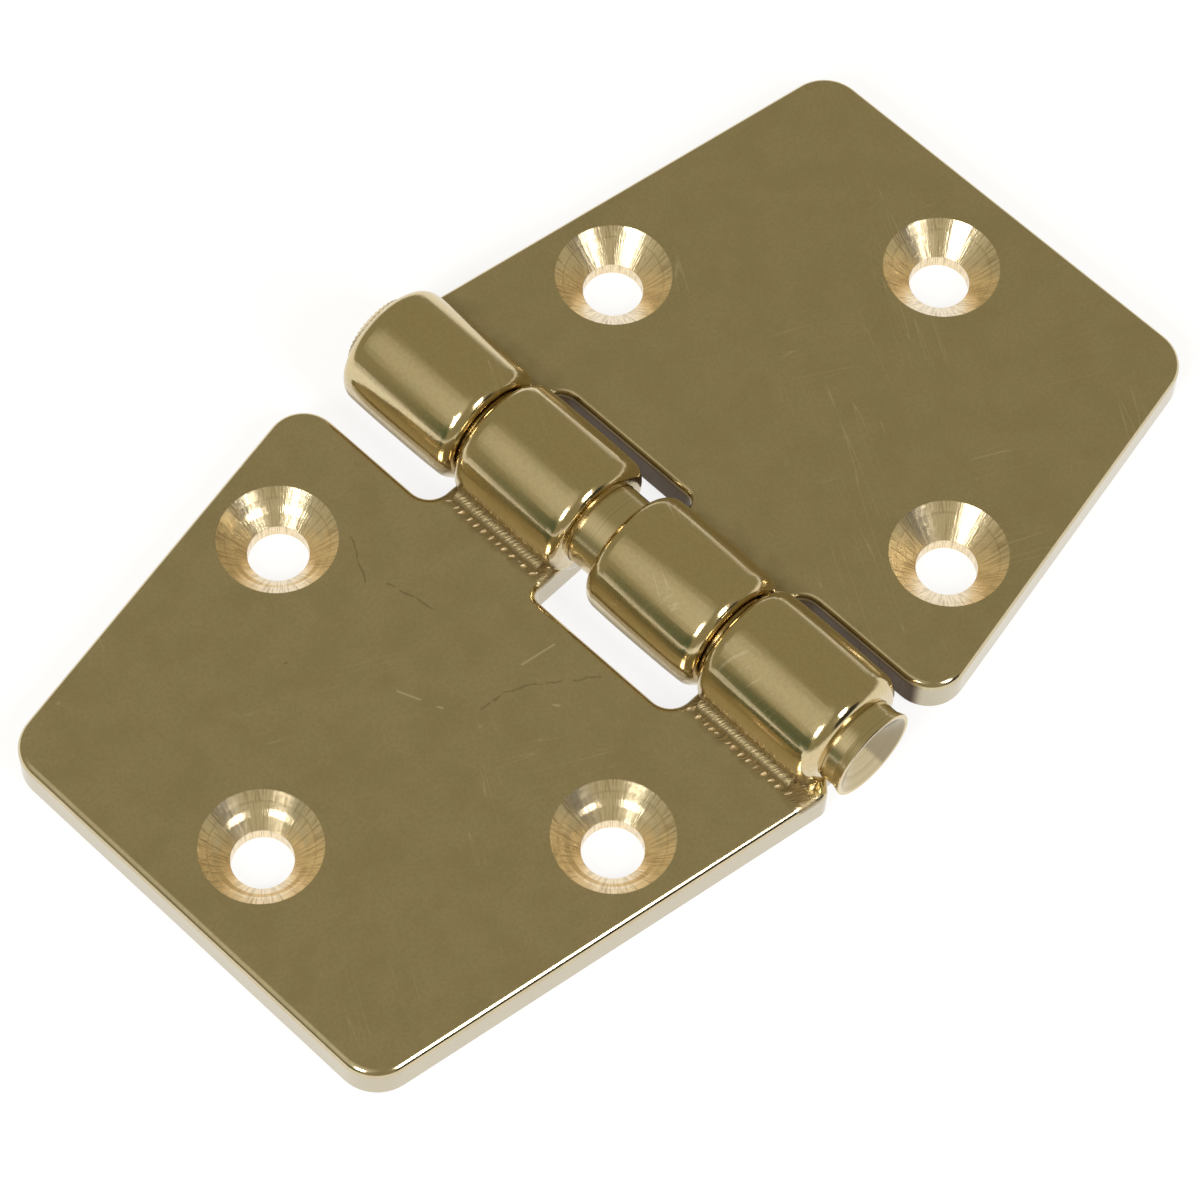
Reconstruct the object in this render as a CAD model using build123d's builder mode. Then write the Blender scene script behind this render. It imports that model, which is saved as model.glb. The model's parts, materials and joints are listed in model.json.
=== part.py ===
"""A cast brass leaf hinge: two tapered, countersunk leaves on one solid pin.

Origin at the middle of the underside, with the hinge lying open and flat.
X runs across the leaves, Y along the pin and Z up from the underside.
"""
import math
import os

from build123d import *

# Leaf plate
leaf_length = 52.0        # from the pin axis to the far edge of one leaf
root_width = 61.4         # across the edge beside the knuckles
far_width = 45.7          # across the far edge
leaf_thickness = 4.0
notch_clearance = 2.4     # between a knuckle and the edge of the other leaf beside it
plan_shift = 0.9          # the plate stands this far off centre, away from its outer knuckle
far_corner_radius = 4.0
root_corner_radius = 3.5
notch_radius = 2.2        # inside corners beside the joints between knuckles
notch_inner_radius = 1.0  # inside corner beside the bare length of pin
heel_offset = 4.6         # from the pin axis to where the side edge turns in under the knuckle
heel_radius = 1.2
top_edge_radius = 0.8
bottom_edge_radius = 0.4

# Knuckles
knuckle_radius = 6.2
knuckle_end_radius = 1.4
inner_knuckle_length = 13.3
outer_knuckle_length = 13.9
joint_gap = 0.3           # between neighbouring knuckles
bare_pin_length = 3.2     # between the two inner knuckles
web_reach = 2.0           # from the pin axis to where the plate ends under a knuckle
web_inset = 0.2           # how far the plate stops short of a knuckle's end faces
web_radius = 1.0          # where the plate's top turns up into a knuckle
web_bury = 0.05           # how far the turned-up side ends inside the barrel

# Pin
pin_radius = 4.25
running_clearance = 0.05  # all round, between the pin and the bores
plain_reach = 2.3         # how far the plain end stands out of its knuckle
lip_radius = 4.5
lip_length = 0.9
plain_recess_radius = 4.15
plain_recess_depth = 2.2
knurled_reach = 0.8       # how far the knurled end stands out of its knuckle
knurl_length = 9.0
knurl_bite = 0.03         # how far the crests of the knurl press into the bore
knurl_depth = 0.26
knurl_pitch = 0.56        # least spacing of the crests, a little over the width of a groove
knurl_chamfer = 0.4
knurled_recess_radius = 2.4
knurled_recess_depth = 1.2

# Screw holes, for 5 mm countersunk screws
screw_hole_radius = 2.75
screw_head_radius = 5.4
screw_head_angle = 90
near_hole_offset = 20.7   # from the pin axis to the pair of holes
near_hole_spacing = 41.9
far_hole_offset = 42.8    # from the pin axis to the single hole

# Worked out from the sizes above
root_offset = knuckle_radius + notch_clearance  # from the pin axis to the edge beside the knuckles
pin_height = knuckle_radius
bore_radius = pin_radius + running_clearance
inner_start = bare_pin_length / 2
inner_end = inner_start + inner_knuckle_length
outer_start = inner_end + joint_gap
outer_end = outer_start + outer_knuckle_length
side_slope = (root_width - far_width) / 2 / (leaf_length - root_offset)
web_top = leaf_thickness + web_radius
web_side = math.sqrt(knuckle_radius ** 2 - (pin_height - web_top) ** 2) - web_bury
web_foot = web_side + web_radius
pin_axis = Axis((0, 0, pin_height), (0, 1, 0))


def side_edge(offset):
    """How far the plate's side edges stand from its centre line, at an offset from the pin."""
    return root_width / 2 - side_slope * (offset - root_offset)


def round_corner(sketch, point, radius):
    """Round the one corner of the sketch that stands at the point."""
    fillet(sketch.vertices().sort_by_distance((*point, 0))[0], radius)


# One casting serves for both leaves. It lies on the +X side of the pin, with its outer
# knuckle at the +Y end and its inner knuckle on the -Y side of the middle.
inner_web = (-inner_end + web_inset, -inner_start - web_inset)
outer_web = (outer_start + web_inset, outer_end - web_inset)
open_notch_corner = (root_offset, inner_web[0])
notch_corner = (root_offset, outer_web[0])
notch_inner_corner = (root_offset, inner_web[1])
root_corner = (root_offset, -side_edge(root_offset) - plan_shift)
far_corners = [(leaf_length, side * far_width / 2 - plan_shift) for side in (-1, 1)]
heel_side = side_edge(heel_offset) - plan_shift
heel_corner = (heel_offset, heel_side)

with BuildPart() as casting:
    # Plate, with a tab under each knuckle
    with BuildSketch() as plan:
        with BuildLine():
            Polyline(
                (web_reach, inner_web[0]),
                open_notch_corner,
                root_corner,
                *far_corners,
                heel_corner,
                (heel_offset - (heel_side - outer_web[1]), outer_web[1]),
                (web_reach, outer_web[1]),
                (web_reach, outer_web[0]),
                notch_corner,
                notch_inner_corner,
                (web_reach, inner_web[1]),
                close=True,
            )
        make_face()
        round_corner(plan, open_notch_corner, notch_radius)
        round_corner(plan, notch_corner, notch_radius)
        round_corner(plan, notch_inner_corner, notch_inner_radius)
        round_corner(plan, root_corner, root_corner_radius)
        round_corner(plan, heel_corner, heel_radius)
        for corner in far_corners:
            round_corner(plan, corner, far_corner_radius)
    extrude(amount=leaf_thickness)
    fillet(casting.faces().sort_by(Axis.Z)[-1].edges(), top_edge_radius)
    fillet(casting.faces().sort_by(Axis.Z)[0].edges(), bottom_edge_radius)

    # Knuckles: barrels with rounded ends, with the plate's top turned up into their sides
    for start, end in ((-inner_end, -inner_start), (outer_start, outer_end)):
        with BuildSketch(Plane.YZ) as half_section:
            with Locations((start, pin_height)):
                Rectangle(end - start, knuckle_radius, align=(Align.MIN, Align.MIN))
            fillet(half_section.vertices().group_by(Axis.Z)[-1], knuckle_end_radius)
        revolve(axis=pin_axis)
        with BuildSketch(Plane.XZ.offset(knuckle_end_radius - end)):
            with BuildLine():
                RadiusArc((web_foot, leaf_thickness), (web_side, web_top), -web_radius)
                Polyline(
                    (web_side, web_top),
                    (web_reach, web_top),
                    (web_reach, leaf_thickness - web_radius),
                    (web_foot, leaf_thickness - web_radius),
                    (web_foot, leaf_thickness),
                )
            make_face()
        extrude(amount=end - start - 2 * knuckle_end_radius)

    # Bore for the pin
    with BuildSketch(Plane.XZ):
        with Locations((0, pin_height)):
            Circle(bore_radius)
    extrude(amount=leaf_length, both=True, mode=Mode.SUBTRACT)

    # Countersunk screw holes
    near_holes = [(near_hole_offset, side * near_hole_spacing / 2 - plan_shift) for side in (-1, 1)]
    with Locations(Plane.XY.offset(leaf_thickness)):
        with Locations(*near_holes, (far_hole_offset, -plan_shift)):
            CounterSinkHole(
                radius=screw_hole_radius,
                counter_sink_radius=screw_head_radius,
                counter_sink_angle=screw_head_angle,
            )

with BuildPart() as frame_leaf:
    add(casting.part)

with BuildPart() as door_leaf:
    add(casting.part, rotation=(0, 0, 180))

# Pin: plain with a turned lip and a deep recess at the -Y end, and knurled at the +Y end,
# where it is driven into the frame leaf's outer knuckle
plain_face = -outer_end - plain_reach
knurled_face = outer_end + knurled_reach
crest_radius = bore_radius + knurl_bite
knurl_teeth = int(2 * math.pi * crest_radius / knurl_pitch)
groove_cutter_side = knurl_depth * math.sqrt(2)

with BuildPart() as hinge_pin:
    with BuildSketch(Plane.YZ):
        with BuildLine():
            Polyline(
                (plain_face + plain_recess_depth, pin_height),
                (plain_face, pin_height + plain_recess_radius),
                (plain_face, pin_height + lip_radius),
                (plain_face + lip_length, pin_height + pin_radius),
                (knurled_face - knurl_length, pin_height + pin_radius),
                (knurled_face - knurl_length, pin_height + crest_radius),
                (knurled_face - knurl_chamfer, pin_height + crest_radius),
                (knurled_face, pin_height + crest_radius - knurl_chamfer),
                (knurled_face, pin_height + knurled_recess_radius),
                (knurled_face - knurled_recess_depth, pin_height),
                close=True,
            )
        make_face()
    revolve(axis=pin_axis)

    # Straight knurl: a ring of V grooves, each cut by one corner of a square
    with BuildSketch(Plane.XZ.offset(-knurled_face)):
        with Locations((0, pin_height)):
            with PolarLocations(crest_radius, knurl_teeth):
                Rectangle(groove_cutter_side, groove_cutter_side, rotation=45)
    extrude(amount=knurl_length, mode=Mode.SUBTRACT)

os.makedirs("parts", exist_ok=True)
for name, piece in (("frame_leaf", frame_leaf), ("door_leaf", door_leaf), ("hinge_pin", hinge_pin)):
    piece.part.label = name
    export_step(piece.part, f"parts/{name}.step")
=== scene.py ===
"""Looks of a cast brass leaf hinge, laid out as a Blender add-on and run as a script.

Lengths in the settings are in metres. X runs across the leaves, Y along the pin and Z up.
"""
import json
import math

import bmesh
import bpy
from mathutils import Matrix, Vector


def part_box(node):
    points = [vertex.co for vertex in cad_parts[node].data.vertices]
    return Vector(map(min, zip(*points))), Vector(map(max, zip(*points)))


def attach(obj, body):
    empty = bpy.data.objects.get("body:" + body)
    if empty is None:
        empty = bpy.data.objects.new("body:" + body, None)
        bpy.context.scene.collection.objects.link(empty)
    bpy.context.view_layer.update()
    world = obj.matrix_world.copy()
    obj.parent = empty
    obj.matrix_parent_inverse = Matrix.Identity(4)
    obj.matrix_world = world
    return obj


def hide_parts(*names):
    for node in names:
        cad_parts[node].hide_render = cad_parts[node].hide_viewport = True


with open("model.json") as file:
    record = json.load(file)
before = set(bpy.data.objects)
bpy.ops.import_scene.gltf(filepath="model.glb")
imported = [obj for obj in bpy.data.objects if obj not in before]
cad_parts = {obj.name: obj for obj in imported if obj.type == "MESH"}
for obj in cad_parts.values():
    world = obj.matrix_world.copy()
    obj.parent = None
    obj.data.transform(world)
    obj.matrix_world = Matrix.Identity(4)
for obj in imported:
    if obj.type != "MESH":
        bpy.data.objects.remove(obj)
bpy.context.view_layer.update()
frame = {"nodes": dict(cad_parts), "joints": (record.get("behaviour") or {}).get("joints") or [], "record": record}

bl_info = {
    "name": "Door Hinge",
    "version": (1, 0, 0),
    "blender": (4, 5, 0),
    "location": "3D View > Sidebar > Door Hinge",
    "description": "Finishes a cast brass leaf hinge around its packed model",
    "category": "Object",
}

PIN_JOINT = frame["joints"][0]
PIN_CENTRE = Vector(PIN_JOINT["pos_m"])
MOUNTS = {mount["name"]: mount for mount in frame["record"]["mounts"]}
LEAF_BODIES = {"frame_leaf": "frame_side", "door_leaf": "door_side"}
LEAF_SIDES = {"frame_leaf": 1, "door_leaf": -1}
# Along Y on the frame leaf, from the middle of the hinge: its inner and its outer knuckle
KNUCKLE_SPANS = ((-0.0149, -0.0016), (0.0152, 0.0291))
# How far the countersink cutters stand past both faces of a leaf
OVERSHOOT = 0.0005
# How near counts as touching when knuckles are picked out of a mesh
TOUCH = 1e-5
SCRATCH_WIDTH = 0.00014
# Scratches on the door leaf's top face, each through places given in millimetres
DARK_SCRATCHES = (
    ((-15.9, 17.3), (-17.2, 15.0), (-18.2, 13.2)),
    ((-17.0, 11.6), (-16.1, 8.4), (-15.9, 6.8)),
    ((-20.1, -3.1), (-17.3, -3.5), (-14.8, -4.9), (-10.3, -8.4)),
    ((-29.0, 12.4), (-28.8, 12.3)),
)
LIGHT_SCRATCHES = (
    ((-14.3, -2.6), (-10.9, -3.2)),
    ((-23.9, 3.3), (-23.1, 1.3)),
    ((-22.5, -0.3), (-22.3, -0.7)),
    ((-15.2, -7.4), (-14.9, -7.8)),
)


# ---------------------------------------------------------------- settings

def length(name, description, default):
    """A length in metres, never negative."""
    return bpy.props.FloatProperty(
        name=name, description=description, default=default, min=0.0, unit="LENGTH", precision=5,
    )


def colour(name, description, default):
    """A linear colour."""
    return bpy.props.FloatVectorProperty(
        name=name, description=description, default=default, subtype="COLOR", min=0.0, max=1.0,
    )


class CastingSettings(bpy.types.PropertyGroup):
    """Sizes and colours of the two leaves."""

    thickness: length("Thickness", "Underside to top face of a leaf", 0.004)
    knuckle_radius: length("Knuckle radius", "Outside of a knuckle at its middle", 0.0062)
    crown: length("Crown", "How much smaller a knuckle is at its ends", 0.00016)
    crown_steps: bpy.props.IntProperty(
        name="Crown steps", description="Rings along a knuckle", default=20, min=2,
    )
    hole_radius: length("Hole radius", "Straight part of a screw hole", 0.00275)
    head_radius: length("Head radius", "Countersink at the top face", 0.0054)
    cut_depth: length("Cut", "How much deeper the finished countersink is cut than the casting's", 0.00003)
    cut_step: length("Step", "Left in the door leaf's countersinks by a second cut", 0.00007)
    chatter: length("Chatter", "Height of the tool marks in a countersink", 0.00004)
    mark_start: length("Mark start", "From a knuckle's end to its first file mark", 0.0012)
    mark_pitch: length("Mark pitch", "From one file mark to the next", 0.00088)
    mark_offset: length("Mark offset", "From the pin axis to the file marks", 0.0070)
    brass: colour("Brass", "Polished face of the casting", (0.69, 0.575, 0.385))
    tarnish: colour("Tarnish", "Thin tarnish on the polished face", (0.55, 0.46, 0.28))
    # Painted shade: the darker, greyer colour that everything below a leaf's top face is painted towards, the
    # plate's sides and the lower parts of the knuckles alike
    sides: colour("Sides", "Less polished sides of the plate", (0.52, 0.47, 0.36))
    worn: colour("Worn brass", "Tops of the knuckles", (0.67, 0.535, 0.30))
    # Painted shade: the dark colour the walls of the frame leaf's notches are painted
    shaded: colour("Shaded walls", "Walls of the frame leaf's notches", (0.060, 0.033, 0.010))
    bare: colour("Bare brass", "Face of a countersink or a file mark", (0.88, 0.74, 0.50))


class PinSettings(bpy.types.PropertyGroup):
    """Sizes and colours of the pin."""

    radius: length("Radius", "Plain part of the pin", 0.00425)
    crest_radius: length("Crest radius", "Over the crests of the knurl", 0.00433)
    lip_radius: length("Lip radius", "Turned lip at the plain end", 0.0045)
    lip_length: length("Lip length", "Along the pin", 0.0009)
    recess_radius: length("Recess radius", "Mouth of the recess in the plain end", 0.00415)
    recess_depth: length("Recess depth", "Of the recess in the plain end", 0.0022)
    far_recess_radius: length("Far recess radius", "Mouth of the recess in the knurled end", 0.0024)
    far_recess_depth: length("Far recess depth", "Of the recess in the knurled end", 0.0012)
    knurl_length: length("Knurl length", "Along the pin", 0.009)
    knurl_chamfer: length("Knurl chamfer", "At the knurled end", 0.0004)
    knurl_depth: length("Knurl depth", "Of the grooves", 0.00026)
    teeth: bpy.props.IntProperty(name="Teeth", description="Crests round the knurl", default=48, min=6)
    ring_pitch: length("Ring pitch", "Between stations along the parts that show", 0.0001)
    ring_depth: length("Ring depth", "Of the turning marks", 0.000012)
    brass: colour("Pin brass", "Turned face of the pin", (0.70, 0.58, 0.35))
    groove: colour("Grooves", "Between the turning marks", (0.50, 0.40, 0.22))


class StageSettings(bpy.types.PropertyGroup):
    """Floor, light and camera."""

    floor_size: length("Floor", "Side of the floor", 3.0)
    floor_paint: colour("Floor paint", "Colour of the floor", (0.90, 0.90, 0.91))
    # Painted pool of light: the floor's colour and its glow fade from the floor paint near the hinge to this
    # dimmer colour further out
    dimmed_floor: colour("Floor edge", "Colour of the floor away from the hinge", (0.55, 0.55, 0.54))
    floor_near: length("Floor near", "From the middle of the hinge to where the paint starts to fade", 0.075)
    floor_far: length("Floor far", "From the middle of the hinge to where the paint has faded", 0.17)
    floor_glow: bpy.props.FloatProperty(
        name="Floor glow", description="Strength of the light that the floor gives off", default=0.9, min=0.0,
    )
    lens: bpy.props.FloatProperty(name="Lens", description="Focal length in millimetres", default=141.3)
    camera_place: bpy.props.FloatVectorProperty(
        name="Camera place", description="Where the camera stands", default=(-0.1544, -0.1381, 0.3714),
        subtype="XYZ", unit="LENGTH",
    )
    camera_look: bpy.props.FloatVectorProperty(
        name="Camera look", description="Direction the camera looks in", default=(0.3606, 0.3183, -0.8767),
        subtype="DIRECTION",
    )
    camera_down: bpy.props.FloatVectorProperty(
        name="Camera down", description="Direction of the picture's lower edge",
        default=(-0.6223, -0.6180, -0.4804), subtype="DIRECTION",
    )


# ---------------------------------------------------------------- nodes

def add(tree, kind, inputs=None, **settings):
    """A new node, with its settings and its inputs, which may be values or other nodes' outputs."""
    made = tree.nodes.new(kind)
    for name, value in settings.items():
        setattr(made, name, value)
    for name, value in (inputs or {}).items():
        if isinstance(value, bpy.types.NodeSocket):
            tree.links.new(value, made.inputs[name])
        else:
            made.inputs[name].default_value = value
    return made


def maths(tree, operation, *values, clamp=False):
    """The result of one step of arithmetic."""
    made = add(tree, "ShaderNodeMath", dict(enumerate(values)), operation=operation, use_clamp=clamp)
    return made.outputs[0]


def vector_maths(tree, operation, *values):
    """The result of one step of vector arithmetic."""
    made = add(tree, "ShaderNodeVectorMath", dict(enumerate(values)), operation=operation)
    return made.outputs["Value" if operation in ("LENGTH", "DOT_PRODUCT", "DISTANCE") else "Vector"]


def scaled(tree, vector, factor):
    """A vector times a number."""
    return add(tree, "ShaderNodeVectorMath", {0: vector, "Scale": factor}, operation="SCALE").outputs[0]


def split(tree, vector):
    """The X, Y and Z of a vector."""
    return add(tree, "ShaderNodeSeparateXYZ", {0: vector}).outputs[:3]


def combined(tree, x=0.0, y=0.0, z=0.0):
    """A vector made of its X, Y and Z."""
    return add(tree, "ShaderNodeCombineXYZ", {0: x, 1: y, 2: z}).outputs[0]


def mix_colour(tree, factor, first, second):
    """Two colours mixed by a factor."""
    made = add(tree, "ShaderNodeMix", data_type="RGBA")
    for socket, value in ((made.inputs[0], factor), (made.inputs[6], first), (made.inputs[7], second)):
        if isinstance(value, bpy.types.NodeSocket):
            tree.links.new(value, socket)
        elif hasattr(value, "__len__"):
            socket.default_value = (*value[:3], 1.0)
        else:
            socket.default_value = value
    return made.outputs[2]


def between(tree, value, low, high, to_low=0.0, to_high=1.0, smooth=True):
    """A value mapped from one range to another, held at the ends."""
    made = add(
        tree, "ShaderNodeMapRange",
        {"Value": value, "From Min": low, "From Max": high, "To Min": to_low, "To Max": to_high},
        interpolation_type="SMOOTHSTEP" if smooth else "LINEAR",
    )
    return made.outputs["Result"]


def noise(tree, vector, scale, detail=2.0, roughness=0.5):
    """Smooth noise from about 0.3 to 0.7."""
    made = add(
        tree, "ShaderNodeTexNoise",
        {"Vector": vector, "Scale": scale, "Detail": detail, "Roughness": roughness},
    )
    return made.outputs["Fac"]


def stretched(tree, vector, scale, turn=0.0, place=(0.0, 0.0, 0.0)):
    """Coordinates turned about Z and moved, then scaled by axis."""
    turned = add(tree, "ShaderNodeMapping", {
        "Vector": vector, "Rotation": (0.0, 0.0, turn), "Location": place,
    })
    return add(tree, "ShaderNodeMapping", {"Vector": turned.outputs[0], "Scale": scale}).outputs[0]


# ---------------------------------------------------------------- finishes

def new_metal(name):
    """A new metal material: its tree, its shader and its object coordinates."""
    material = bpy.data.materials.new(name)
    material.use_nodes = True
    tree = material.node_tree
    shader = tree.nodes["Principled BSDF"]
    shader.inputs["Metallic"].default_value = 1.0
    place = add(tree, "ShaderNodeTexCoord").outputs["Object"]
    return material, tree, shader, place


def bump(tree, shader, *heights):
    """Bump from several (height, depth in metres) pairs, one on the other."""
    normal = None
    for height, depth in heights:
        inputs = {"Strength": 1.0, "Distance": depth, "Height": height}
        if normal is not None:
            inputs["Normal"] = normal
        normal = add(tree, "ShaderNodeBump", inputs).outputs["Normal"]
    tree.links.new(normal, shader.inputs["Normal"])


def scratches(tree, place, turn, seed, scale=90.0, thin=0.012):
    """Sparse straight hairlines lying along one direction, 1 on a line and 0 off it."""
    along = stretched(tree, place, (scale * 0.35, scale * 9.0, scale), turn, (seed, seed * 0.7, 0.0))
    line = maths(tree, "ABSOLUTE", maths(tree, "SUBTRACT", noise(tree, along, 1.0, 1.0), 0.5))
    patches = noise(tree, stretched(tree, place, (scale,) * 3, turn, (seed * 3,) * 3), 0.8)
    here = between(tree, patches, 0.58, 0.64)
    return maths(tree, "MULTIPLY", between(tree, line, thin, 0.0), here)


def specks(tree, place, scale, size, share):
    """Small round dots on a share of a scattered grid."""
    cells = add(tree, "ShaderNodeTexVoronoi", {"Vector": place, "Scale": scale})
    near = between(tree, cells.outputs["Distance"], size, size * 0.4)
    chosen = maths(tree, "GREATER_THAN", add(
        tree, "ShaderNodeSeparateColor", {"Color": cells.outputs["Color"]}).outputs[0], 1.0 - share)
    return maths(tree, "MULTIPLY", near, chosen)


def stroke(tree, place, start, end):
    """1 along a thin straight line between two places and 0 off it."""
    run = Vector(end) - Vector(start)
    aside = vector_maths(tree, "SUBTRACT", place, start)
    along = vector_maths(tree, "DOT_PRODUCT", aside, run / run.length_squared)
    along = maths(tree, "MULTIPLY", along, 1.0, clamp=True)
    away = vector_maths(tree, "DISTANCE", aside, scaled(tree, run, along))
    return between(tree, away, SCRATCH_WIDTH, SCRATCH_WIDTH * 0.4)


def strokes(tree, place, settings, lines):
    """Thin lines through several places on a leaf's top face, and 0 everywhere else."""
    whole = None
    for line in lines:
        for start, end in zip(line, line[1:]):
            start, end = ((x / 1000, y / 1000, settings.thickness) for x, y in (start, end))
            piece = stroke(tree, place, start, end)
            whole = piece if whole is None else maths(tree, "MAXIMUM", whole, piece)
    return whole


def polished_brass(settings):
    """Cast brass, buffed bright, with thin tarnish and hairlines, and dressed by file at the knuckles; with
    painted shade below the top face, in the crease at the knuckles' foot, on the frame leaf's plate beside its
    knuckles and on the walls of its notches.
    """
    material, tree, shader, place = new_metal("polished_brass")
    x, _, z = split(tree, place)
    even = (1.0, 1.0, 1.0)
    mottle = noise(tree, place, 240.0, 4.0, 0.6)
    hue = noise(tree, stretched(tree, place, even, 0.0, (0.4, 0.9, 0.0)), 620.0, 2.0)
    grain = noise(tree, place, 3000.0, 3.0, 0.6)
    high = between(tree, z, 0.0060, 0.0085, 0.0, 0.85)
    on_frame_leaf = between(tree, x, 0.006, 0.012, 0.0, 0.22)
    flecks = specks(tree, stretched(tree, place, even, 0.0, (3.1, 1.7, 0.0)), 330.0, 0.10, 0.12)
    lines = maths(tree, "MAXIMUM", scratches(tree, place, 0.5, 1.3), scratches(tree, place, 2.1, 4.7))
    light = maths(tree, "MULTIPLY", maths(tree, "MAXIMUM", lines, flecks), 0.35)
    light_lines = strokes(tree, place, settings, LIGHT_SCRATCHES)
    light = maths(tree, "MAXIMUM", light, maths(tree, "MULTIPLY", light_lines, 0.75))
    dark_lines = strokes(tree, wavering(tree, place), settings, DARK_SCRATCHES)
    dressed = filed_foot_shade(tree, place, settings)
    # Where painted shade darkens the walls of the frame leaf's notches
    walls = notch_wall_shade(tree, place, settings)
    # Painted shade, darker towards the bottom: everything below the top face, knuckles too
    sides = between(tree, z, settings.thickness - 0.0003, settings.thickness - 0.0010, 0.0, 0.85)
    base = settings.brass
    for share, tint in (
        (between(tree, mottle, 0.36, 0.68, 0.0, 0.5), settings.tarnish),
        (high, settings.worn),
        (on_frame_leaf, settings.tarnish),
        (between(tree, hue, 0.4, 0.7, 0.0, 0.34), (0.60, 0.56, 0.33)),
        (between(tree, grain, 0.35, 0.7, 0.0, 0.34), (0.50, 0.41, 0.25)),
        (light, (0.95, 0.86, 0.66)),
        (maths(tree, "MULTIPLY", dark_lines, 0.42), (0.25, 0.20, 0.12)),
        # Filed band at the knuckles' foot, its darker brown painted shade in the crease
        (maths(tree, "MULTIPLY", dressed, 0.85), (0.36, 0.28, 0.15)),
        # Painted shade beside the frame leaf's knuckles
        (plate_shade(tree, place, settings), (0.33, 0.26, 0.15)),
        (walls, settings.shaded),
        (maths(tree, "MULTIPLY", sides, maths(tree, "SUBTRACT", 1.0, walls)), settings.sides),
    ):
        base = mix_colour(tree, share, base, tint)
    tree.links.new(base, shader.inputs["Base Color"])
    rough = between(tree, mottle, 0.3, 0.7, 0.10, 0.15)
    rough = maths(tree, "ADD", rough, maths(tree, "MULTIPLY", lines, 0.12))
    rough = maths(tree, "ADD", rough, maths(tree, "MULTIPLY", maths(tree, "MAXIMUM", dressed, walls), 0.32))
    tree.links.new(rough, shader.inputs["Roughness"])
    hatch = noise(tree, stretched(tree, place, (900.0, 5200.0, 900.0), 0.6), 1.0, 2.0)
    bump(
        tree, shader,
        (noise(tree, place, 90.0, 1.0), 0.000012),
        (grain, 0.0000024),
        (maths(tree, "MULTIPLY", noise(tree, place, 5200.0, 2.0), high), 0.0000035),
        (maths(tree, "SUBTRACT", 1.0, lines), 0.000002),
        (maths(tree, "MULTIPLY", hatch, dressed), 0.00009),
    )
    return material


def wavering(tree, place):
    """Places shifted a little by noise, so that straight strokes waver."""
    cloud = add(tree, "ShaderNodeTexNoise", {"Vector": place, "Scale": 700.0}).outputs["Color"]
    return vector_maths(
        tree, "ADD", place, scaled(tree, vector_maths(tree, "SUBTRACT", cloud, (0.5, 0.5, 0.5)), 0.0007))


def filed_foot_shade(tree, place, settings):
    """1 low down beside the knuckles, on both sides of the pin, and 0 elsewhere: the band dressed by file at the
    knuckles' foot, whose roughness and hatching are real and whose darker brown is painted shade in the crease.
    """
    x, _, z = split(tree, place)
    ragged = maths(tree, "MULTIPLY", maths(tree, "SUBTRACT", noise(tree, place, 900.0), 0.5), 0.0012)
    across = maths(tree, "ADD", maths(tree, "ABSOLUTE", x), ragged)
    beside = maths(tree, "ABSOLUTE", maths(tree, "SUBTRACT", across, settings.mark_offset - 0.0005))
    low = between(tree, z, settings.thickness + 0.0022, settings.thickness + 0.0010)
    above = between(tree, z, settings.thickness - 0.0012, settings.thickness - 0.0004)
    return maths(tree, "MULTIPLY", between(tree, beside, 0.0015, 0.0006), maths(tree, "MULTIPLY", low, above))


def plate_shade(tree, place, settings):
    """Painted shade: a soft brown darkening on the frame leaf's plate along the foot of its knuckles."""
    x, _, z = split(tree, place)
    soft = maths(tree, "MULTIPLY", maths(tree, "SUBTRACT", noise(tree, place, 420.0, 3.0), 0.5), 0.003)
    reach = between(tree, maths(tree, "ADD", x, soft), 0.0098, 0.0064, 0.0, 0.62)
    level = maths(tree, "ABSOLUTE", maths(tree, "SUBTRACT", z, settings.thickness))
    on_top = between(tree, level, 0.0012, 0.0006)
    on_frame_leaf = maths(tree, "GREATER_THAN", x, 0.004)
    return maths(tree, "MULTIPLY", maths(tree, "MULTIPLY", reach, on_top), on_frame_leaf)


def notch_wall_shade(tree, place, settings):
    """Painted shade on the walls of the frame leaf's notches: 1 below the top face in the strip of the frame leaf
    that holds its notch walls, and 0 elsewhere.
    """
    x, y, z = split(tree, place)
    low = between(tree, z, settings.thickness - 0.00015, settings.thickness - 0.0007)
    walls = maths(tree, "MULTIPLY", between(tree, x, 0.0064, 0.0072), between(tree, x, 0.0093, 0.0087))
    inside = between(tree, maths(tree, "ABSOLUTE", y), 0.0298, 0.0290)
    return maths(tree, "MULTIPLY", maths(tree, "MULTIPLY", walls, inside), low)


def cut_brass(settings):
    """Brass cut bare in the countersinks and file marks, streaked down the cone."""
    material, tree, shader, place = new_metal("cut_brass")
    shader.inputs["Metallic"].default_value = 0.85
    out = add(tree, "ShaderNodeAttribute", attribute_name="around_hole").outputs["Vector"]
    x, _, z = split(tree, place)
    lie = combined(tree, z=maths(tree, "MULTIPLY", z, 350.0))
    round_cone = vector_maths(tree, "MULTIPLY", out, (24.0,) * 3)
    streak = noise(tree, vector_maths(tree, "ADD", round_cone, lie), 1.0, 3.0, 0.7)
    rings = noise(tree, combined(tree, z=maths(tree, "MULTIPLY", z, 2600.0)), 1.0, 2.0)
    base = mix_colour(tree, between(tree, streak, 0.48, 0.62, 0.0, 0.6), settings.bare, (0.42, 0.31, 0.16))
    base = mix_colour(tree, between(tree, rings, 0.56, 0.66, 0.0, 0.3), base, (0.46, 0.34, 0.18))
    tree.links.new(base, shader.inputs["Base Color"])
    filed = between(tree, maths(tree, "ABSOLUTE", x), 0.0100, 0.0090, 0.0, 0.34)
    rough = maths(tree, "ADD", between(tree, streak, 0.3, 0.7, 0.13, 0.24), filed)
    tree.links.new(rough, shader.inputs["Roughness"])
    bump(tree, shader, (streak, 0.000025), (rings, 0.000006))
    return material


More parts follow.
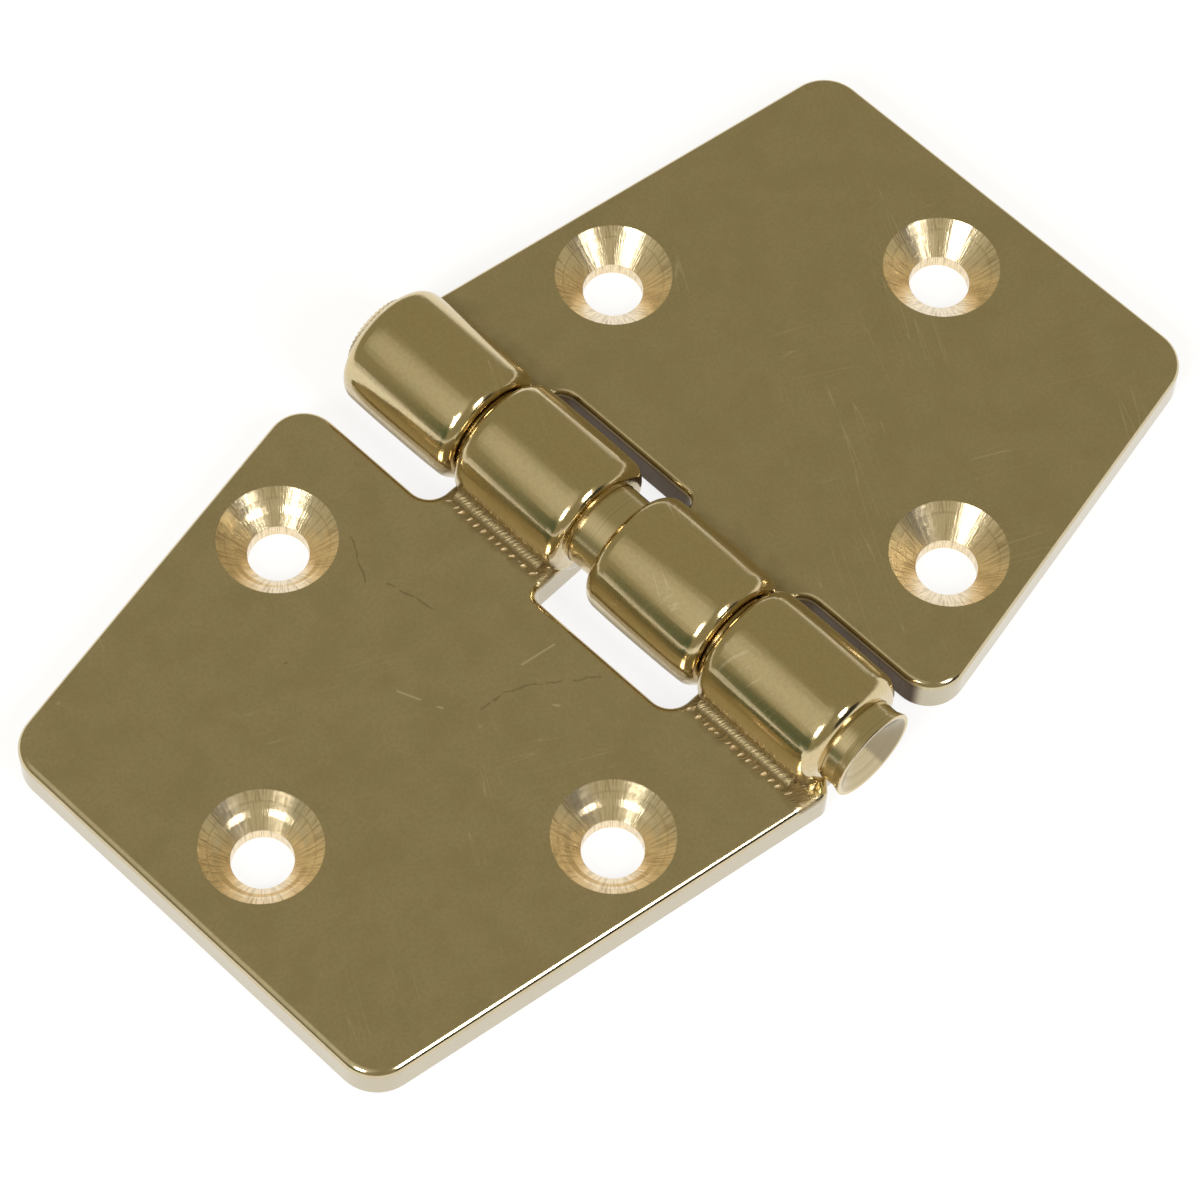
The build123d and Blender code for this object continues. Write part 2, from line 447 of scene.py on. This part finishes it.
def turned_brass(settings):
    """Brass rod turned on a lathe, with fine rings along its length, and painted shade on one half of the recess
    in its plain end.
    """
    material, tree, shader, place = new_metal("turned_brass")
    rings = noise(tree, stretched(tree, place, (6.0, 4200.0, 6.0)), 1.0, 3.0, 0.7)
    base = mix_colour(tree, between(tree, rings, 0.40, 0.72, 0.0, 0.7), settings.brass, settings.groove)
    x, y, z = split(tree, place)
    height = maths(tree, "SUBTRACT", z, PIN_CENTRE.z)
    out = vector_maths(tree, "LENGTH", combined(tree, x, height))
    at_end = maths(tree, "LESS_THAN", y, -KNUCKLE_SPANS[1][1])
    inside = between(tree, out, settings.recess_radius, settings.recess_radius - 0.0001)
    inside = maths(tree, "MULTIPLY", at_end, inside)
    # Painted shade: one half of the recess in the plain end is painted darker, standing for the darker
    # surroundings it reflects
    slant = maths(tree, "ADD", x, maths(tree, "MULTIPLY", height, 0.4))
    shaded = between(tree, slant, -0.0002, 0.0004, 0.40, 0.95)
    base = mix_colour(tree, maths(tree, "MULTIPLY", inside, shaded), base, (0.30, 0.25, 0.16))
    tree.links.new(base, shader.inputs["Base Color"])
    tree.links.new(between(tree, rings, 0.3, 0.7, 0.16, 0.26), shader.inputs["Roughness"])
    bump(tree, shader, (rings, 0.000004))
    return material


# ---------------------------------------------------------------- leaves

def joined_copy(node):
    """A copy of a node's mesh with its loose triangles joined up."""
    shape = bmesh.new()
    shape.from_mesh(frame["nodes"][node].data)
    bmesh.ops.remove_doubles(shape, verts=shape.verts, dist=1e-7)
    bmesh.ops.dissolve_degenerate(shape, edges=shape.edges, dist=1e-7)
    mesh = bpy.data.meshes.new(node)
    shape.to_mesh(mesh)
    shape.free()
    return mesh


def crown_knuckles(mesh, leaf, settings):
    """Ease the leaf's two knuckles in towards their ends, as buffing leaves them."""
    shape = bmesh.new()
    shape.from_mesh(mesh)
    side = LEAF_SIDES[leaf]
    for span in KNUCKLE_SPANS:
        start, end = sorted(side * y for y in span)
        middle = (start + end) / 2
        half = (end - start) / 2
        for step in range(1, settings.crown_steps):
            y = start + step * (end - start) / settings.crown_steps
            near = [f for f in shape.faces if all(
                abs(v.co.x) < settings.knuckle_radius + TOUCH and start - TOUCH < v.co.y < end + TOUCH
                for v in f.verts)]
            around = {*near, *(e for f in near for e in f.edges), *(v for f in near for v in f.verts)}
            bmesh.ops.bisect_plane(
                shape, geom=list(around), plane_co=(0, y, 0), plane_no=(0, 1, 0), dist=1e-6,
            )
        for vertex in shape.verts:
            if not start - TOUCH < vertex.co.y < end + TOUCH:
                continue
            out = Vector((vertex.co.x, 0.0, vertex.co.z - PIN_CENTRE.z))
            on_plate = side * vertex.co.x > 0.002 and vertex.co.z < settings.thickness + TOUCH
            if out.length > settings.knuckle_radius - 0.0015 and not on_plate:
                ease = settings.crown * (abs(vertex.co.y - middle) / half) ** 3
                vertex.co -= out * (ease / settings.knuckle_radius)
    bmesh.ops.triangulate(shape, faces=[f for f in shape.faces if len(f.verts) > 4])
    shape.to_mesh(mesh)
    shape.free()


def points_object(name, points):
    """An object that holds loose points, for Geometry Nodes to place things on."""
    mesh = bpy.data.meshes.new(name)
    mesh.from_pydata(points, [], [])
    made = bpy.data.objects.new(name, mesh)
    bpy.context.scene.collection.objects.link(made)
    return made


def tree_with_inputs(name, inputs):
    """A Geometry Nodes tree with named inputs: (name, socket type, default or None)."""
    tree = bpy.data.node_groups.new(name, "GeometryNodeTree")
    tree.interface.new_socket("Geometry", in_out="OUTPUT", socket_type="NodeSocketGeometry")
    tree.interface.new_socket("Geometry", in_out="INPUT", socket_type="NodeSocketGeometry")
    for title, kind, default in inputs:
        socket = tree.interface.new_socket(title, in_out="INPUT", socket_type=kind)
        if default is not None:
            socket.default_value = default
    return tree, add(tree, "NodeGroupInput").outputs


def named_attribute(tree, name, kind):
    """The values stored earlier on the geometry under a name."""
    return add(tree, "GeometryNodeInputNamedAttribute", {"Name": name}, data_type=kind).outputs[0]


def countersink_cutter(tree, inputs):
    """A cutter for each hole: a cone over a straight bore, with radial tool marks."""
    blank = add(tree, "GeometryNodeMeshCylinder", {
        "Vertices": inputs["Segments"], "Side Segments": 24, "Fill Segments": 1,
        "Radius": 1.0, "Depth": 1.0,
    })
    place = add(tree, "GeometryNodeInputPosition").outputs[0]
    x, y, z = split(tree, place)
    up = maths(tree, "MULTIPLY", maths(tree, "ADD", z, 0.5), inputs["Cutter Height"])
    cone = maths(tree, "ADD", maths(tree, "SUBTRACT", up, inputs["Thickness"]), inputs["Head Radius"])
    step_foot = maths(tree, "SUBTRACT", inputs["Thickness"], inputs["Step Reach"])
    on_step = maths(tree, "GREATER_THAN", up, step_foot)
    cone = maths(tree, "ADD", cone, maths(tree, "MULTIPLY", inputs["Step"], on_step))
    radius = maths(tree, "ADD", maths(tree, "MAXIMUM", cone, inputs["Hole Radius"]), inputs["Cut"])
    shaped = combined(tree, maths(tree, "MULTIPLY", x, radius), maths(tree, "MULTIPLY", y, radius), up)
    kept = add(tree, "GeometryNodeStoreNamedAttribute", {
        "Geometry": blank.outputs["Mesh"], "Name": "outward", "Value": combined(tree, x, y),
    }, data_type="FLOAT_VECTOR")
    sized = add(tree, "GeometryNodeSetPosition", {"Geometry": kept.outputs[0], "Position": shaped})
    holes = add(tree, "GeometryNodeObjectInfo", {"Object": inputs["Holes"]}, transform_space="ORIGINAL")
    placed = add(tree, "GeometryNodeInstanceOnPoints", {
        "Points": holes.outputs["Geometry"], "Instance": sized.outputs[0],
    })
    real = add(tree, "GeometryNodeRealizeInstances", {"Geometry": placed.outputs[0]})
    kept_out = named_attribute(tree, "outward", "FLOAT_VECTOR")
    around = scaled(tree, kept_out, 13.0)
    drift = vector_maths(tree, "MULTIPLY", place, (37.0, 37.0, 900.0))
    streak = noise(tree, vector_maths(tree, "ADD", around, drift), 1.0, 3.0, 0.6)
    rise = maths(tree, "MULTIPLY", maths(tree, "SUBTRACT", streak, 0.25), inputs["Chatter"])
    push = scaled(tree, kept_out, rise)
    return add(tree, "GeometryNodeSetPosition", {"Geometry": real.outputs[0], "Offset": push}).outputs[0]


def varied(tree, seed, low, high):
    """A different vector at each point, between two vectors."""
    made = add(tree, "FunctionNodeRandomValue", {"Seed": seed}, data_type="FLOAT_VECTOR")
    made.inputs[0].default_value = low
    made.inputs[1].default_value = high
    return made.outputs[0]


def file_mark_cutter(tree, inputs):
    """A short pointed cutter at each file mark, a little different each time."""
    blank = add(tree, "GeometryNodeMeshIcoSphere", {"Radius": 1.0, "Subdivisions": 2})
    sized = add(tree, "GeometryNodeTransform", {
        "Geometry": blank.outputs["Mesh"], "Scale": inputs["Mark Size"],
    })
    marks = add(tree, "GeometryNodeObjectInfo", {"Object": inputs["Marks"]}, transform_space="ORIGINAL")
    turn, scale, stray = (
        varied(tree, inputs["Seed"], low, high)
        for low, high in (
            ((0.0, -0.15, -1.0), (0.0, 0.15, -0.3)),
            ((0.45, 0.5, 0.5), (1.1, 1.25, 1.15)),
            ((-0.00015, -0.00015, -0.00004), (0.00015, 0.00015, 0.00004)),
        )
    )
    strewn = add(tree, "GeometryNodeSetPosition", {"Geometry": marks.outputs["Geometry"], "Offset": stray})
    placed = add(tree, "GeometryNodeInstanceOnPoints", {
        "Points": strewn.outputs[0], "Instance": sized.outputs[0],
        "Rotation": turn, "Scale": scale,
    })
    return add(tree, "GeometryNodeRealizeInstances", {"Geometry": placed.outputs[0]}).outputs[0]


def finished(tree, geometry, material, sharp=28.0):
    """Geometry shaded smooth but for its sharp edges, made real and given a material."""
    angle = add(tree, "GeometryNodeInputMeshEdgeAngle").outputs["Unsigned Angle"]
    creased = add(tree, "GeometryNodeSetShadeSmooth", {
        "Geometry": geometry, "Selection": maths(tree, "GREATER_THAN", angle, math.radians(sharp)),
        "Shade Smooth": False,
    }, domain="EDGE")
    smooth = add(tree, "GeometryNodeSetShadeSmooth", {"Geometry": creased.outputs[0], "Shade Smooth": True})
    real = add(tree, "GeometryNodeRealizeInstances", {"Geometry": smooth.outputs[0]})
    painted = add(tree, "GeometryNodeSetMaterial", {"Geometry": real.outputs[0], "Material": material})
    return painted.outputs[0]


def leaf_tree():
    """Cuts the finished countersinks and the file marks into a leaf, and gives it its finishes."""
    tree, inputs = tree_with_inputs("finished_leaf", [
        ("Holes", "NodeSocketObject", None),
        ("Marks", "NodeSocketObject", None),
        ("Thickness", "NodeSocketFloat", None),
        ("Cutter Height", "NodeSocketFloat", None),
        ("Head Radius", "NodeSocketFloat", None),
        ("Hole Radius", "NodeSocketFloat", None),
        ("Cut", "NodeSocketFloat", None),
        ("Step", "NodeSocketFloat", None),
        ("Step Reach", "NodeSocketFloat", 0.0015),
        ("Chatter", "NodeSocketFloat", None),
        ("Segments", "NodeSocketInt", 240),
        ("Mark Size", "NodeSocketVector", (0.00070, 0.00020, 0.00017)),
        ("Seed", "NodeSocketInt", 3),
        ("Polished", "NodeSocketMaterial", None),
        ("Cut Face", "NodeSocketMaterial", None),
    ])
    cutters = add(tree, "GeometryNodeJoinGeometry")
    for cutter in (countersink_cutter(tree, inputs), file_mark_cutter(tree, inputs)):
        tree.links.new(cutter, cutters.inputs[0])
    tagged = add(tree, "GeometryNodeStoreNamedAttribute", {
        "Geometry": cutters.outputs[0], "Name": "cut", "Value": 1.0,
    }, data_type="FLOAT", domain="FACE")
    cut = add(tree, "GeometryNodeMeshBoolean", operation="DIFFERENCE", solver="EXACT")
    cut.inputs["Self Intersection"].default_value = True
    tree.links.new(inputs["Geometry"], cut.inputs[0])
    tree.links.new(tagged.outputs[0], cut.inputs[1])
    holes = add(tree, "GeometryNodeObjectInfo", {"Object": inputs["Holes"]}, transform_space="ORIGINAL")
    nearest = add(tree, "GeometryNodeSampleNearest", {"Geometry": holes.outputs["Geometry"]}, domain="POINT")
    place = add(tree, "GeometryNodeInputPosition").outputs[0]
    centre = add(tree, "GeometryNodeSampleIndex", {
        "Geometry": holes.outputs["Geometry"], "Value": place, "Index": nearest.outputs[0],
    }, data_type="FLOAT_VECTOR", domain="POINT")
    aside = vector_maths(tree, "SUBTRACT", place, centre.outputs[0])
    aside = vector_maths(tree, "MULTIPLY", aside, (1.0, 1.0, 0.0))
    kept = add(tree, "GeometryNodeStoreNamedAttribute", {
        "Geometry": cut.outputs[0], "Name": "around_hole", "Value": vector_maths(tree, "NORMALIZE", aside),
    }, data_type="FLOAT_VECTOR", domain="POINT")
    all_over = finished(tree, kept.outputs[0], inputs["Polished"])
    is_cut = named_attribute(tree, "cut", "FLOAT")
    with_cuts = add(tree, "GeometryNodeSetMaterial", {
        "Geometry": all_over, "Selection": maths(tree, "GREATER_THAN", is_cut, 0.5),
        "Material": inputs["Cut Face"],
    })
    add(tree, "NodeGroupOutput", {0: with_cuts.outputs[0]})
    return tree


def set_inputs(modifier, values):
    """Sets a modifier's inputs by the identifiers of their named sockets."""
    for item in modifier.node_group.interface.items_tree:
        if item.in_out == "INPUT" and item.name in values:
            modifier[item.identifier] = values.pop(item.name)
    if values:
        raise RuntimeError(f"the tree has no inputs named {sorted(values)}")


def finished_mesh(made, name):
    """The object's mesh with its modifiers applied, on a new plain object."""
    bpy.context.view_layer.update()
    shown = made.evaluated_get(bpy.context.evaluated_depsgraph_get())
    mesh = bpy.data.meshes.new_from_object(shown)
    bpy.data.objects.remove(made)
    mesh.name = name
    plain = bpy.data.objects.new(name, mesh)
    bpy.context.scene.collection.objects.link(plain)
    return plain


def hole_centres(leaf):
    """Places just under a leaf where its three countersink cutters stand."""
    near = MOUNTS[f"{leaf}_near_screws"]
    far = MOUNTS[f"{leaf}_far_screw"]
    half = near["dims"]["spacing_y_mm"] / 2000
    x, y, _ = near["pos_m"]
    return [(*place, -OVERSHOOT) for place in ((x, y - half), (x, y + half), far["pos_m"][:2])]


def mark_centres(leaf, settings):
    """Places of the file marks along the foot of a leaf's two knuckles."""
    side = LEAF_SIDES[leaf]
    places = []
    for start, end in KNUCKLE_SPANS:
        count = int((end - start - 2 * settings.mark_start) / settings.mark_pitch) + 1
        for step in range(count):
            y = start + settings.mark_start + step * settings.mark_pitch
            places.append((side * settings.mark_offset, side * y, settings.thickness))
    return places


class HINGE_OT_leaves(bpy.types.Operator):
    """Finish the two leaves"""

    bl_idname = "hinge.leaves"
    bl_label = "Leaves"

    def execute(self, context):
        settings = context.scene.hinge_casting
        polished = polished_brass(settings)
        cut = cut_brass(settings)
        tree = leaf_tree()
        for leaf, body in LEAF_BODIES.items():
            holes = points_object("holes", hole_centres(leaf))
            marks = points_object("marks", mark_centres(leaf, settings))
            rough = bpy.data.objects.new("rough_" + leaf, joined_copy(leaf))
            crown_knuckles(rough.data, leaf, settings)
            context.scene.collection.objects.link(rough)
            modifier = rough.modifiers.new("finish", "NODES")
            modifier.node_group = tree
            set_inputs(modifier, {
                "Holes": holes, "Marks": marks,
                "Thickness": settings.thickness + OVERSHOOT,
                "Cutter Height": settings.thickness + 2 * OVERSHOOT,
                "Head Radius": settings.head_radius, "Hole Radius": settings.hole_radius,
                "Cut": settings.cut_depth, "Step": settings.cut_step if leaf == "door_leaf" else 0.0,
                "Chatter": settings.chatter, "Polished": polished, "Cut Face": cut,
            })
            rough.modifiers.new("even_shading", "WEIGHTED_NORMAL").keep_sharp = True
            made = finished_mesh(rough, leaf + "_casting")
            for helper in (holes, marks):
                bpy.data.objects.remove(helper)
            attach(made, body)
            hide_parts(leaf)
        return {"FINISHED"}


# ---------------------------------------------------------------- pin

def stations(start, end, pitch):
    """Evenly spaced places from start to end, not counting the end."""
    count = max(1, round((end - start) / pitch))
    return [start + step * (end - start) / count for step in range(count)]


def pin_profile(settings):
    """Half section of the pin from its plain end to its knurled end, as (radius, place along Y)."""
    low, high = (corner.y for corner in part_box("hinge_pin"))
    neck = low + settings.lip_length
    knurl = high - settings.knurl_length
    edge = 0.00008
    steps = 12
    cone = [
        (settings.recess_radius * step / steps, low + settings.recess_depth * (1 - step / steps))
        for step in range(steps)
    ]
    lip = [
        (settings.recess_radius, low), (settings.lip_radius - edge, low),
        (settings.lip_radius, low + edge), (settings.lip_radius, low + 2 * edge),
    ]
    shown_end = -KNUCKLE_SPANS[1][1] + settings.ring_pitch
    bare = -KNUCKLE_SPANS[0][1] + 2 * settings.ring_pitch
    body = [
        *stations(neck, shown_end, settings.ring_pitch), shown_end,
        *stations(-bare, bare, settings.ring_pitch), bare,
    ]
    return [
        *cone, *lip, *((settings.radius, y) for y in body),
        (settings.radius, knurl), *((settings.crest_radius, y) for y in stations(knurl, high, 0.001)),
        (settings.crest_radius, high - settings.knurl_chamfer),
        (settings.crest_radius - settings.knurl_chamfer, high),
        (settings.far_recess_radius, high), (0.0, high - settings.far_recess_depth),
    ]


def pin_tree():
    """Turns a profile about the pin's axis and cuts the knurl and the turning marks into it."""
    tree, inputs = tree_with_inputs("turned_pin", [
        ("Profile", "NodeSocketObject", None),
        ("Stations", "NodeSocketInt", None),
        ("Around", "NodeSocketInt", 192),
        ("Teeth", "NodeSocketFloat", None),
        ("Tooth Depth", "NodeSocketFloat", None),
        ("Knurl Start", "NodeSocketFloat", None),
        ("Marked Beyond", "NodeSocketFloat", None),
        ("Ring Depth", "NodeSocketFloat", None),
        ("Centre", "NodeSocketVector", None),
        ("Finish", "NodeSocketMaterial", None),
    ])
    tube = add(tree, "GeometryNodeMeshCylinder", {
        "Vertices": inputs["Around"], "Side Segments": inputs["Stations"], "Radius": 1.0, "Depth": 1.0,
    }, fill_type="NONE")
    place = add(tree, "GeometryNodeInputPosition").outputs[0]
    x, y, z = split(tree, place)
    station = maths(tree, "ROUND", maths(tree, "MULTIPLY", maths(tree, "ADD", z, 0.5), inputs["Stations"]))
    profile = add(tree, "GeometryNodeObjectInfo", {"Object": inputs["Profile"]}, transform_space="ORIGINAL")
    sample = add(tree, "GeometryNodeSampleIndex", {
        "Geometry": profile.outputs["Geometry"], "Value": place, "Index": station,
    }, data_type="FLOAT_VECTOR", domain="POINT")
    radius, along, _ = split(tree, sample.outputs[0])
    teeth_per_radian = maths(tree, "DIVIDE", inputs["Teeth"], 2 * math.pi)
    turn = maths(tree, "MULTIPLY", maths(tree, "ARCTAN2", y, x), teeth_per_radian)
    on_knurl = maths(tree, "GREATER_THAN", along, inputs["Knurl Start"])
    outside = maths(tree, "GREATER_THAN", radius, inputs["Marked Beyond"])
    slope = maths(tree, "ABSOLUTE", maths(tree, "SUBTRACT", maths(tree, "FRACT", turn), 0.5))
    tooth = maths(tree, "MULTIPLY", slope, maths(tree, "MULTIPLY", inputs["Tooth Depth"], 2.0))
    tooth = maths(tree, "MULTIPLY", tooth, on_knurl)
    ring = noise(tree, combined(tree, maths(tree, "MULTIPLY", along, 5000.0)), 1.0, 2.0)
    ring = maths(tree, "MULTIPLY", ring, inputs["Ring Depth"])
    ring = maths(tree, "MULTIPLY", ring, maths(tree, "SUBTRACT", 1.0, on_knurl))
    cut = maths(tree, "MULTIPLY", maths(tree, "ADD", tooth, ring), outside)
    radius = maths(tree, "SUBTRACT", radius, cut)
    turned = combined(tree, maths(tree, "MULTIPLY", x, radius), along, maths(tree, "MULTIPLY", y, radius))
    shaped = add(tree, "GeometryNodeSetPosition", {
        "Geometry": tube.outputs["Mesh"], "Position": vector_maths(tree, "ADD", turned, inputs["Centre"]),
    })
    outward = add(tree, "GeometryNodeFlipFaces", {0: shaped.outputs[0]})
    closed = add(tree, "GeometryNodeMergeByDistance", {"Geometry": outward.outputs[0], "Distance": 1e-7})
    add(tree, "NodeGroupOutput", {0: finished(tree, closed.outputs[0], inputs["Finish"])})
    return tree


class HINGE_OT_pin(bpy.types.Operator):
    """Turn the pin"""

    bl_idname = "hinge.pin"
    bl_label = "Pin"

    def execute(self, context):
        settings = context.scene.hinge_pin
        points = pin_profile(settings)
        profile = points_object("profile", [(radius, y, 0.0) for radius, y in points])
        rough = bpy.data.objects.new("rough_pin", bpy.data.meshes.new("rough_pin"))
        context.scene.collection.objects.link(rough)
        modifier = rough.modifiers.new("turning", "NODES")
        modifier.node_group = pin_tree()
        set_inputs(modifier, {
            "Profile": profile, "Stations": len(points) - 1, "Teeth": float(settings.teeth),
            "Tooth Depth": settings.knurl_depth,
            "Marked Beyond": settings.crest_radius - 2 * settings.knurl_chamfer,
            "Knurl Start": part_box("hinge_pin")[1].y - settings.knurl_length,
            "Ring Depth": settings.ring_depth, "Centre": PIN_CENTRE, "Finish": turned_brass(settings),
        })
        made = finished_mesh(rough, "turned_pin")
        bpy.data.objects.remove(profile)
        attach(made, "frame_side")
        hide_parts("hinge_pin")
        return {"FINISHED"}


# ---------------------------------------------------------------- stage

def lobe(tree, way, towards, low, high, strength):
    """Brightness around one direction of the sky, from the cosine of the angle to it."""
    facing = vector_maths(tree, "DOT_PRODUCT", way, Vector(towards).normalized())
    return maths(tree, "MULTIPLY", between(tree, facing, low, high), strength)


def studio_light(scene):
    """A dim warm sky, with one pale patch high up and two dark ones low down in front and beside it."""
    world = bpy.data.worlds.new("studio")
    scene.world = world
    world.use_nodes = True
    tree = world.node_tree
    way = add(tree, "ShaderNodeTexCoord").outputs["Generated"]
    shade = (0.345, 0.315, 0.205)
    for towards, low, high, strength, patch in (
        ((-0.60, 0.10, 0.78), 0.80, 1.0, 0.50, (1.0, 0.98, 0.86)),
        ((-0.96, 0.10, 0.14), 0.94, 0.995, 1.0, (0.12, 0.15, 0.09)),
        ((0.16, -0.96, 0.21), 0.92, 0.97, 1.0, (0.04, 0.04, 0.04)),
    ):
        shade = mix_colour(tree, lobe(tree, way, towards, low, high, strength), shade, patch)
    tree.links.new(shade, tree.nodes["Background"].inputs["Color"])


class HINGE_OT_stage(bpy.types.Operator):
    """Lay the floor and set up the light and the camera"""

    bl_idname = "hinge.stage"
    bl_label = "Stage"

    def execute(self, context):
        scene = context.scene
        settings = scene.hinge_stage
        self.lay_floor(settings)
        studio_light(scene)
        self.hang_lamp("front_window", (0.05, -1.15, 0.98), (0.40, 0.62), 7.0)
        self.hang_lamp("side_window", (-1.15, -0.20, 0.92), (0.40, 0.55), 7.0)
        self.set_camera(scene, settings)
        scene.view_settings.view_transform = "Standard"
        return {"FINISHED"}

    def lay_floor(self, settings):
        half = settings.floor_size / 2
        mesh = bpy.data.meshes.new("floor")
        corners = [(-half, -half, 0.0), (half, -half, 0.0), (half, half, 0.0), (-half, half, 0.0)]
        mesh.from_pydata(corners, [], [(0, 1, 2, 3)])
        material = bpy.data.materials.new("floor_paint")
        material.use_nodes = True
        tree = material.node_tree
        shader = tree.nodes["Principled BSDF"]
        place = add(tree, "ShaderNodeTexCoord").outputs["Object"]
        # Painted pool of light: the floor is coloured and glows brighter near the hinge and dimmer further out
        away = between(tree, vector_maths(tree, "LENGTH", place), settings.floor_near, settings.floor_far)
        paint = mix_colour(tree, away, settings.floor_paint, settings.dimmed_floor)
        tree.links.new(mix_colour(tree, 0.65, paint, (0.0, 0.0, 0.0)), shader.inputs["Base Color"])
        shader.inputs["Roughness"].default_value = 0.9
        shader.inputs["Specular IOR Level"].default_value = 0.1
        tree.links.new(paint, shader.inputs["Emission Color"])
        shader.inputs["Emission Strength"].default_value = settings.floor_glow
        mesh.materials.append(material)
        floor = bpy.data.objects.new("floor", mesh)
        bpy.context.scene.collection.objects.link(floor)

    def hang_lamp(self, name, place, size, power):
        lamp = bpy.data.lights.new(name, "AREA")
        lamp.shape = "RECTANGLE"
        lamp.size, lamp.size_y = size
        lamp.energy = power
        made = bpy.data.objects.new(name, lamp)
        made.location = place
        made.rotation_mode = "QUATERNION"
        made.rotation_quaternion = (-Vector(place)).to_track_quat("-Z", "Y")
        bpy.context.scene.collection.objects.link(made)

    def set_camera(self, scene, settings):
        look = Vector(settings.camera_look).normalized()
        up = -Vector(settings.camera_down)
        up = (up - look * up.dot(look)).normalized()
        right = look.cross(up)
        camera = bpy.data.cameras.new("camera")
        camera.lens = settings.lens
        camera.sensor_width = 36.0
        camera.shift_x = -0.0216
        camera.shift_y = 0.0013
        camera.clip_start = 0.01
        camera.clip_end = 20.0
        made = bpy.data.objects.new("camera", camera)
        made.matrix_world = Matrix.Translation(settings.camera_place) @ Matrix((
            (right.x, up.x, -look.x), (right.y, up.y, -look.y), (right.z, up.z, -look.z),
        )).to_4x4()
        scene.collection.objects.link(made)
        scene.camera = made


# ---------------------------------------------------------------- add-on

class VIEW3D_PT_hinge(bpy.types.Panel):
    """Lists the hinge's pieces and its stage"""

    bl_label = "Door Hinge"
    bl_idname = "VIEW3D_PT_hinge"
    bl_space_type = "VIEW_3D"
    bl_region_type = "UI"
    bl_category = "Door Hinge"

    def draw(self, context):
        for operator in OPERATORS:
            self.layout.operator(operator.bl_idname)


SETTINGS = {"hinge_casting": CastingSettings, "hinge_pin": PinSettings, "hinge_stage": StageSettings}
OPERATORS = (HINGE_OT_leaves, HINGE_OT_pin, HINGE_OT_stage)


def register():
    for kind in (*SETTINGS.values(), *OPERATORS, VIEW3D_PT_hinge):
        bpy.utils.register_class(kind)
    for name, kind in SETTINGS.items():
        setattr(bpy.types.Scene, name, bpy.props.PointerProperty(type=kind))


def unregister():
    for name in SETTINGS:
        delattr(bpy.types.Scene, name)
    for kind in reversed((*SETTINGS.values(), *OPERATORS, VIEW3D_PT_hinge)):
        bpy.utils.unregister_class(kind)


def main():
    register()
    bpy.ops.hinge.leaves()
    bpy.ops.hinge.pin()
    bpy.ops.hinge.stage()


if __name__ == "__main__":
    main()
